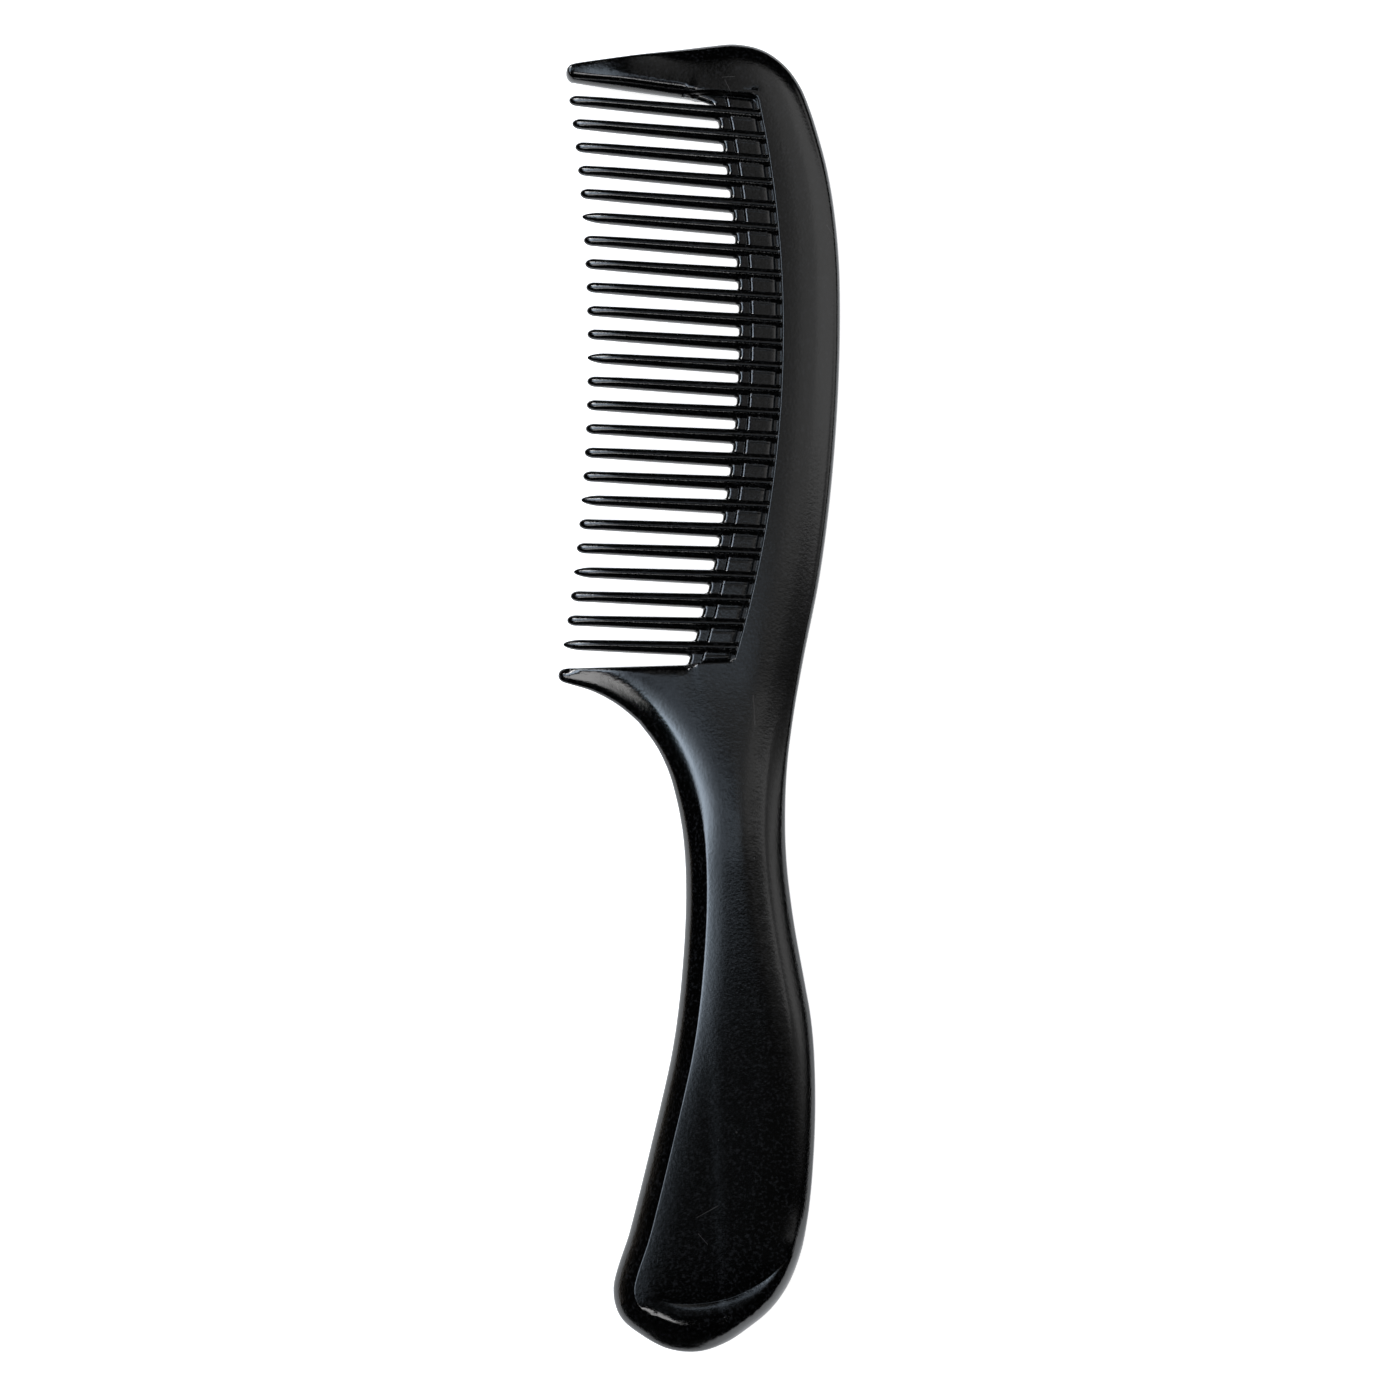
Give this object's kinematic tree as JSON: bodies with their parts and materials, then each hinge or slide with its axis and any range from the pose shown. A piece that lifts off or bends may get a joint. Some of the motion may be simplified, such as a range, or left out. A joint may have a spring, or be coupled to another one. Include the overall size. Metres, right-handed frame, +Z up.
{
  "type": "wide tooth comb",
  "caption": "Hair comb with a row of wide-spaced round teeth between two guard teeth, a curved spine and a flat swelling handle with a finger crook, moulded in one plastic.",
  "frame": {"origin": "centre of the bounding box's bottom, on the surface that the comb lies on", "axes": "+Z up out of the comb's upper face, +Y from the handle's butt to the head, +X from the tooth tips to the spine"},
  "size_m": [0.052, 0.2162, 0.008],
  "materials": {
    "black_plastic": "satin moulded black plastic, shiny on the tooth tips and edges, with fine scuffs and specks of dust on the faces"
  },
  "bodies": {
    "root": {"handle": "black_plastic", "back": "black_plastic", "upper_guard_tooth": "black_plastic", "lower_guard_tooth": "black_plastic", "tooth_01": "black_plastic", "tooth_02": "black_plastic", "tooth_03": "black_plastic", "tooth_04": "black_plastic", "tooth_05": "black_plastic", "tooth_06": "black_plastic", "tooth_07": "black_plastic", "tooth_08": "black_plastic", "tooth_09": "black_plastic", "tooth_10": "black_plastic", "tooth_11": "black_plastic", "tooth_12": "black_plastic", "tooth_13": "black_plastic", "tooth_14": "black_plastic", "tooth_15": "black_plastic", "tooth_16": "black_plastic", "tooth_17": "black_plastic", "tooth_18": "black_plastic", "tooth_19": "black_plastic", "tooth_20": "black_plastic", "tooth_21": "black_plastic", "tooth_22": "black_plastic", "tooth_23": "black_plastic", "tooth_24": "black_plastic"}
  },
  "joints": []
}
